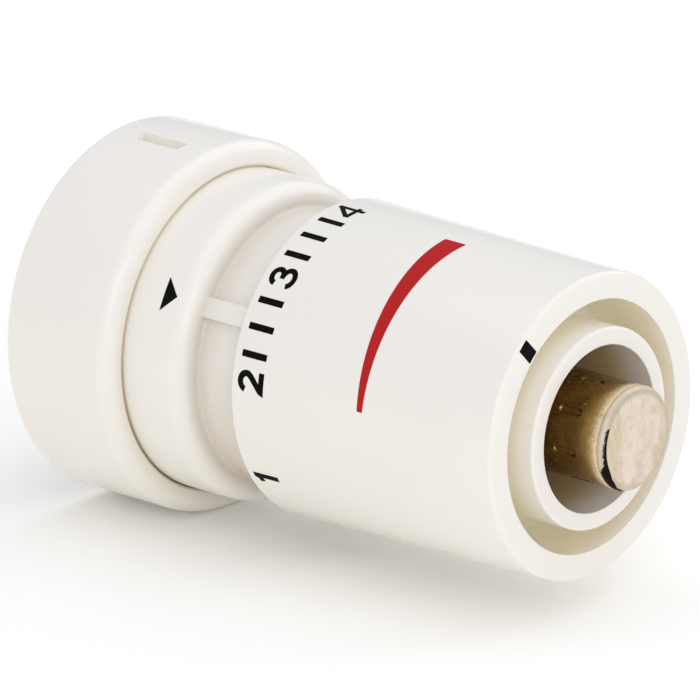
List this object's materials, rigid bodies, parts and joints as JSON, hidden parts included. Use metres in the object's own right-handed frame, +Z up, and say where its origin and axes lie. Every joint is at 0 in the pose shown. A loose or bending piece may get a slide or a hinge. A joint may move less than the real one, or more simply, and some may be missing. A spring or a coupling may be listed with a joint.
{
  "type": "thermostatic radiator head",
  "caption": "Screw-on thermostatic radiator head: union nut, fixed pointer ring, turning numbered handle and a liquid-filled sensor that pushes the valve's pin.",
  "frame": {"origin": "centre of the union thread's mouth, on the head's axis", "axes": "+X along the axis from the valve to the head's front, +Z up; the pointer is 29 degrees above the horizontal on the -Y side, as the head is turned in the picture"},
  "size_m": [0.081, 0.047, 0.047],
  "materials": {
    "white_gloss": "glossy moulded ABS, warm white",
    "white_matte": "satin acetal, natural white",
    "grey_plastic": "satin glass-filled nylon",
    "blue_plastic": "satin",
    "red_plastic": "satin",
    "nickel_plate": "nickel-plated brass, turned",
    "spring_steel": "plain spring steel",
    "sensor_metal": "nickel-plated brass, dull, stained by handling",
    "brass": "turned",
    "bellows_bronze": "thin formed bronze"
  },
  "bodies": {
    "base": {"base_socket": "white_matte", "pointer_sleeve": "white_gloss", "nut_snap_ring": "spring_steel"},
    "union": {"union_nut": "nickel_plate", "cover_ring": "white_gloss", "cover_latch": "white_gloss"},
    "carriage": {"sensor_carrier": "grey_plastic", "carrier_circlip": "spring_steel", "sensor_snap_ring": "spring_steel", "spring_washer": "spring_steel", "overtravel_spring": "spring_steel"},
    "handle": {"handle_shell": "white_gloss", "threaded_sleeve": "white_gloss", "stop_ring": "grey_plastic", "limit_clip_low": "blue_plastic", "limit_clip_high": "red_plastic"},
    "sensor": {"sensor_can": "sensor_metal", "sensor_flange": "brass", "fill_plug": "brass", "bellows": "bellows_bronze"},
    "plunger": {"piston_pin": "spring_steel", "thrust_cup": "white_matte", "bellows_plug": "brass"}
  },
  "joints": [
    {"name": "union_spin", "type": "hinge", "parent": "base", "child": "union", "pos_m": [0, 0, 0], "axis": [1, 0, 0], "continuous": true},
    {"name": "head_lift", "type": "slide", "parent": "base", "child": "carriage", "axis": [1, 0, 0], "range_m": [-0.00313, 0.00212]},
    {"name": "handle_turn", "type": "hinge", "parent": "carriage", "child": "handle", "pos_m": [0.034, 0, 0], "axis": [1, 0, 0], "range_deg": [-141, 95.3]},
    {"name": "sensor_overtravel", "type": "slide", "parent": "carriage", "child": "sensor", "axis": [1, 0, 0], "range_m": [0, 0.0035], "stiffness_N_per_m": 4000, "springref_m": -0.005, "deforming": ["overtravel_spring"]},
    {"name": "plunger_stroke", "type": "slide", "parent": "sensor", "child": "plunger", "axis": [1, 0, 0], "range_m": [-0.004, 0.0012], "stiffness_N_per_m": 2000, "deforming": ["bellows"]}
  ],
  "couplings": [
    {"joint": "handle_turn", "follows": "head_lift", "rad_per_m": 785.4}
  ]
}
